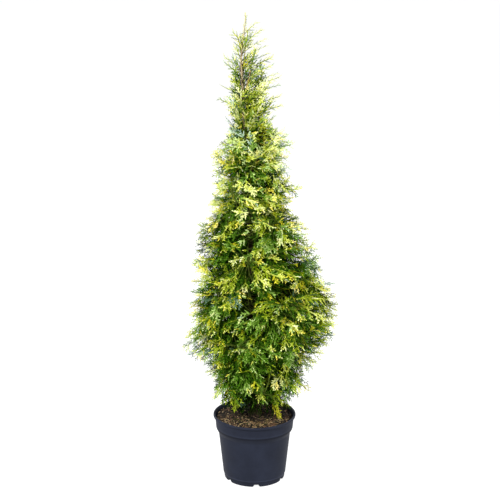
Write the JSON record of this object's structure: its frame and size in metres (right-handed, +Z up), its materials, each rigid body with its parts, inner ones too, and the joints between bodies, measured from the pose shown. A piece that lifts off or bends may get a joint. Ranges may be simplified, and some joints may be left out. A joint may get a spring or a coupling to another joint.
{
  "type": "potted variegated incense cedar",
  "caption": "Slim young incense cedar with gold and green feathery sprays, standing in a round tapered nursery pot of soil.",
  "frame": {"origin": "middle of the flat underside of the pot, on the ground it stands on", "axes": "+Z up along the pot's axis to the tree's tip, -Y towards the front of the picture, +X to its right"},
  "size_m": [0.418, 0.3858, 1.238],
  "materials": {
    "pot_plastic": "moulded dark blue-grey plastic, satin with a fine grain",
    "soil": "moist bark compost, rough and crumbly",
    "trunk_bark": "young fibrous bark, rough, paler and pinkish towards the tip",
    "bough_bark": "thin smooth bark of side branches",
    "foliage": "flat scale-leaf sprays in green, blue-green, gold and cream, soft satin"
  },
  "bodies": {
    "root": {"bough_broad_1": "bough_bark", "bough_broad_2": "bough_bark", "bough_broad_3": "bough_bark", "bough_broad_4": "bough_bark", "bough_broad_5": "bough_bark", "bough_high_1": "bough_bark", "bough_high_2": "bough_bark", "bough_high_3": "bough_bark", "bough_high_4": "bough_bark", "bough_low_1": "bough_bark", "bough_low_2": "bough_bark", "bough_low_3": "bough_bark", "bough_low_4": "bough_bark", "bough_low_5": "bough_bark", "bough_middle_1": "bough_bark", "bough_middle_2": "bough_bark", "bough_middle_3": "bough_bark", "bough_middle_4": "bough_bark", "bough_skirt_1": "bough_bark", "bough_skirt_2": "bough_bark", "bough_skirt_3": "bough_bark", "bough_skirt_4": "bough_bark", "bough_skirt_5": "bough_bark", "bough_upper_1": "bough_bark", "bough_upper_2": "bough_bark", "bough_upper_3": "bough_bark", "foliage_broad_1": "foliage", "foliage_broad_2": "foliage", "foliage_broad_3": "foliage", "foliage_broad_4": "foliage", "foliage_broad_5": "foliage", "foliage_crest_1": "foliage", "foliage_crest_2": "foliage", "foliage_high_1": "foliage", "foliage_high_2": "foliage", "foliage_high_3": "foliage", "foliage_high_4": "foliage", "foliage_low_1": "foliage", "foliage_low_2": "foliage", "foliage_low_3": "foliage", "foliage_low_4": "foliage", "foliage_low_5": "foliage", "foliage_middle_1": "foliage", "foliage_middle_2": "foliage", "foliage_middle_3": "foliage", "foliage_middle_4": "foliage", "foliage_skirt_1": "foliage", "foliage_skirt_2": "foliage", "foliage_skirt_3": "foliage", "foliage_skirt_4": "foliage", "foliage_skirt_5": "foliage", "foliage_top_1": "foliage", "foliage_top_2": "foliage", "foliage_top_3": "foliage", "foliage_upper_1": "foliage", "foliage_upper_2": "foliage", "foliage_upper_3": "foliage", "pot": "pot_plastic", "soil": "soil", "trunk": "trunk_bark"}
  },
  "joints": []
}
